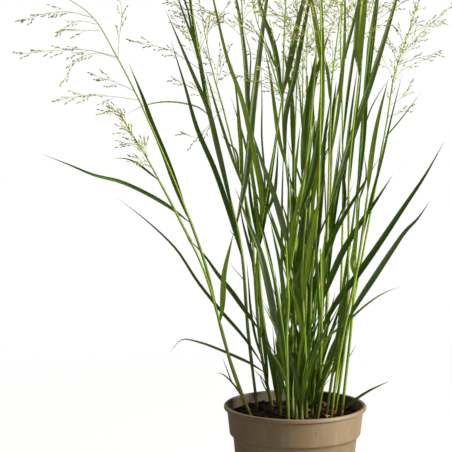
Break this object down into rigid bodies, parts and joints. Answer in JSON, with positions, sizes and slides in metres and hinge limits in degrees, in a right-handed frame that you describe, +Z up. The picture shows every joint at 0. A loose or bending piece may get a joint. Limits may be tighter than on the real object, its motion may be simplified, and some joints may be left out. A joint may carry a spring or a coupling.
{
  "type": "potted switchgrass",
  "caption": "Upright clump of ornamental grass with narrow arching blades and open airy seed heads, growing in a round taupe nursery pot that stands on its flat base.",
  "frame": {"origin": "centre of the pot's flat base, where it meets the ground", "axes": "+Z up, along the clump; the front, as pictured, faces -Y; +X to the right"},
  "size_m": [0.5639, 0.4934, 0.7724],
  "materials": {
    "pot_plastic": "matte taupe polypropylene, slightly scuffed",
    "soil": "dark, damp peat with bark chips",
    "foliage": "satin leaf, fine lengthwise veins, glaucous to yellow-green",
    "seed_heads": "dull straw to olive"
  },
  "bodies": {
    "root": {"pot": "pot_plastic", "soil": "soil", "shoot_01": "foliage", "shoot_02": "foliage", "shoot_03": "foliage", "shoot_04": "foliage", "shoot_05": "foliage", "shoot_06": "foliage", "shoot_07": "foliage", "shoot_08": "foliage", "shoot_09": "foliage", "shoot_10": "foliage", "shoot_11": "foliage", "shoot_12": "foliage", "shoot_13": "foliage", "shoot_14": "foliage", "shoot_15": "foliage", "shoot_16": "foliage", "shoot_17": "foliage", "shoot_18": "foliage", "shoot_19": "foliage", "shoot_20": "foliage", "shoot_21": "foliage", "shoot_22": "foliage", "shoot_23": "foliage", "shoot_24": "foliage", "shoot_25": "foliage", "shoot_26": "foliage", "seed_head_01": "seed_heads", "seed_head_02": "seed_heads", "seed_head_03": "seed_heads", "seed_head_04": "seed_heads", "seed_head_05": "seed_heads", "seed_head_06": "seed_heads", "seed_head_07": "seed_heads", "seed_head_08": "seed_heads", "seed_head_09": "seed_heads", "seed_head_10": "seed_heads", "seed_head_11": "seed_heads", "seed_head_12": "seed_heads", "seed_head_13": "seed_heads", "seed_head_14": "seed_heads", "seed_head_15": "seed_heads", "seed_head_16": "seed_heads", "seed_head_17": "seed_heads"}
  },
  "joints": []
}
